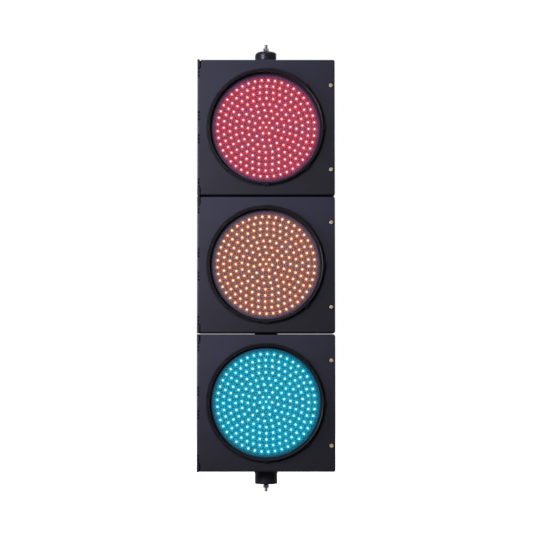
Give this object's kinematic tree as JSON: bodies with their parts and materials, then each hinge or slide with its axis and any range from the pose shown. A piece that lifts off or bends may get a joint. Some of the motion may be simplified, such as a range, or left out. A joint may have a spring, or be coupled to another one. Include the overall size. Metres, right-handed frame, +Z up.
{
  "type": "traffic signal head",
  "caption": "Tall box-shaped traffic signal head with stacked round LED lenses on side-hinged doors, captive latch screws, and a threaded mounting stud at each end.",
  "frame": {"origin": "centre of the lower hub's flat seating face, on the axis of both mounting studs", "axes": "+Z up along the studs, lenses face -Y, +X to the right of someone looking at the lenses"},
  "size_m": [0.355, 0.152, 1.168],
  "materials": {
    "housing_plastic": "moulded, fine texture",
    "door_plastic": "moulded, satin",
    "hub_plastic": "moulded, satin",
    "module_plastic": "moulded",
    "seal_rubber": "matt",
    "washer_nylon": "plain",
    "clip_steel": "stainless",
    "black_steel": "black oxide",
    "zinc_steel": "bright zinc plate",
    "yellow_zinc": "yellow zinc plate",
    "brass": "turned",
    "terminal_plastic": "moulded",
    "driver_board": "solder mask",
    "cable_sheath": "satin sheath",
    "lens_green": "clear polycarbonate",
    "board_green": "dark solder mask",
    "led_green": "lit epoxy lens",
    "lens_amber": "clear polycarbonate",
    "board_amber": "dark solder mask",
    "led_amber": "lit epoxy lens",
    "lens_red": "clear polycarbonate",
    "board_red": "dark solder mask",
    "led_red": "lit epoxy lens"
  },
  "bodies": {
    "head": {"housing_green": "housing_plastic", "housing_amber": "housing_plastic", "housing_red": "housing_plastic", "hinge_pins": "black_steel", "latch_inserts": "brass", "mounting_hubs": "hub_plastic", "mounting_studs": "zinc_steel", "seal_bushes": "seal_rubber", "stud_nuts": "zinc_steel", "coupling_gaskets": "seal_rubber", "coupling_plates": "clip_steel", "m5_bolts": "zinc_steel", "m5_nuts": "zinc_steel", "terminal_block": "terminal_plastic", "wiring_loom": "cable_sheath", "cable_grommet": "seal_rubber"},
    "door_green": {"door_green": "door_plastic", "door_gasket_green": "seal_rubber", "lens_green": "lens_green", "lens_gasket_green": "seal_rubber", "module_case_green": "module_plastic", "led_board_green": "board_green", "leds_green": "led_green", "module_screws_green": "yellow_zinc", "driver_board_green": "driver_board", "module_clips_green": "clip_steel"},
    "latch_washer_green_upper": {"latch_washer_green_upper": "washer_nylon"},
    "latch_screw_green_upper": {"latch_screw_green_upper": "brass"},
    "latch_washer_green_lower": {"latch_washer_green_lower": "washer_nylon"},
    "latch_screw_green_lower": {"latch_screw_green_lower": "brass"},
    "door_amber": {"door_amber": "door_plastic", "door_gasket_amber": "seal_rubber", "lens_amber": "lens_amber", "lens_gasket_amber": "seal_rubber", "module_case_amber": "module_plastic", "led_board_amber": "board_amber", "leds_amber": "led_amber", "module_screws_amber": "yellow_zinc", "driver_board_amber": "driver_board", "module_clips_amber": "clip_steel"},
    "latch_washer_amber_upper": {"latch_washer_amber_upper": "washer_nylon"},
    "latch_screw_amber_upper": {"latch_screw_amber_upper": "brass"},
    "latch_washer_amber_lower": {"latch_washer_amber_lower": "washer_nylon"},
    "latch_screw_amber_lower": {"latch_screw_amber_lower": "brass"},
    "door_red": {"door_red": "door_plastic", "door_gasket_red": "seal_rubber", "lens_red": "lens_red", "lens_gasket_red": "seal_rubber", "module_case_red": "module_plastic", "led_board_red": "board_red", "leds_red": "led_red", "module_screws_red": "yellow_zinc", "driver_board_red": "driver_board", "module_clips_red": "clip_steel"},
    "latch_washer_red_upper": {"latch_washer_red_upper": "washer_nylon"},
    "latch_screw_red_upper": {"latch_screw_red_upper": "brass"},
    "latch_washer_red_lower": {"latch_washer_red_lower": "washer_nylon"},
    "latch_screw_red_lower": {"latch_screw_red_lower": "brass"}
  },
  "joints": [
    {"name": "door_green_hinge", "type": "hinge", "parent": "head", "child": "door_green", "pos_m": [-0.1745, -0.064, 0.2105], "axis": [0, 0, -1], "range_deg": [0, 115]},
    {"name": "latch_screw_green_upper_draw", "type": "slide", "parent": "door_green", "child": "latch_washer_green_upper", "axis": [0, -1, 0], "range_m": [0, 0.01]},
    {"name": "latch_screw_green_upper_turn", "type": "hinge", "parent": "latch_washer_green_upper", "child": "latch_screw_green_upper", "pos_m": [0.1675, -0.0676, 0.3195], "axis": [0, -1, 0], "range_deg": [0, 3640]},
    {"name": "latch_screw_green_lower_draw", "type": "slide", "parent": "door_green", "child": "latch_washer_green_lower", "axis": [0, -1, 0], "range_m": [0, 0.01]},
    {"name": "latch_screw_green_lower_turn", "type": "hinge", "parent": "latch_washer_green_lower", "child": "latch_screw_green_lower", "pos_m": [0.1675, -0.0676, 0.1015], "axis": [0, -1, 0], "range_deg": [0, 3640]},
    {"name": "door_amber_hinge", "type": "hinge", "parent": "head", "child": "door_amber", "pos_m": [-0.1745, -0.064, 0.5655], "axis": [0, 0, -1], "range_deg": [0, 115]},
    {"name": "latch_screw_amber_upper_draw", "type": "slide", "parent": "door_amber", "child": "latch_washer_amber_upper", "axis": [0, -1, 0], "range_m": [0, 0.01]},
    {"name": "latch_screw_amber_upper_turn", "type": "hinge", "parent": "latch_washer_amber_upper", "child": "latch_screw_amber_upper", "pos_m": [0.1675, -0.0676, 0.6745], "axis": [0, -1, 0], "range_deg": [0, 3640]},
    {"name": "latch_screw_amber_lower_draw", "type": "slide", "parent": "door_amber", "child": "latch_washer_amber_lower", "axis": [0, -1, 0], "range_m": [0, 0.01]},
    {"name": "latch_screw_amber_lower_turn", "type": "hinge", "parent": "latch_washer_amber_lower", "child": "latch_screw_amber_lower", "pos_m": [0.1675, -0.0676, 0.4565], "axis": [0, -1, 0], "range_deg": [0, 3640]},
    {"name": "door_red_hinge", "type": "hinge", "parent": "head", "child": "door_red", "pos_m": [-0.1745, -0.064, 0.9205], "axis": [0, 0, -1], "range_deg": [0, 115]},
    {"name": "latch_screw_red_upper_draw", "type": "slide", "parent": "door_red", "child": "latch_washer_red_upper", "axis": [0, -1, 0], "range_m": [0, 0.01]},
    {"name": "latch_screw_red_upper_turn", "type": "hinge", "parent": "latch_washer_red_upper", "child": "latch_screw_red_upper", "pos_m": [0.1675, -0.0676, 1.0295], "axis": [0, -1, 0], "range_deg": [0, 3640]},
    {"name": "latch_screw_red_lower_draw", "type": "slide", "parent": "door_red", "child": "latch_washer_red_lower", "axis": [0, -1, 0], "range_m": [0, 0.01]},
    {"name": "latch_screw_red_lower_turn", "type": "hinge", "parent": "latch_washer_red_lower", "child": "latch_screw_red_lower", "pos_m": [0.1675, -0.0676, 0.8115], "axis": [0, -1, 0], "range_deg": [0, 3640]}
  ],
  "couplings": [
    {"joint": "latch_screw_green_upper_turn", "follows": "latch_screw_green_upper_draw", "rad_per_m": 6283.2},
    {"joint": "latch_screw_green_lower_turn", "follows": "latch_screw_green_lower_draw", "rad_per_m": 6283.2},
    {"joint": "latch_screw_amber_upper_turn", "follows": "latch_screw_amber_upper_draw", "rad_per_m": 6283.2},
    {"joint": "latch_screw_amber_lower_turn", "follows": "latch_screw_amber_lower_draw", "rad_per_m": 6283.2},
    {"joint": "latch_screw_red_upper_turn", "follows": "latch_screw_red_upper_draw", "rad_per_m": 6283.2},
    {"joint": "latch_screw_red_lower_turn", "follows": "latch_screw_red_lower_draw", "rad_per_m": 6283.2}
  ]
}
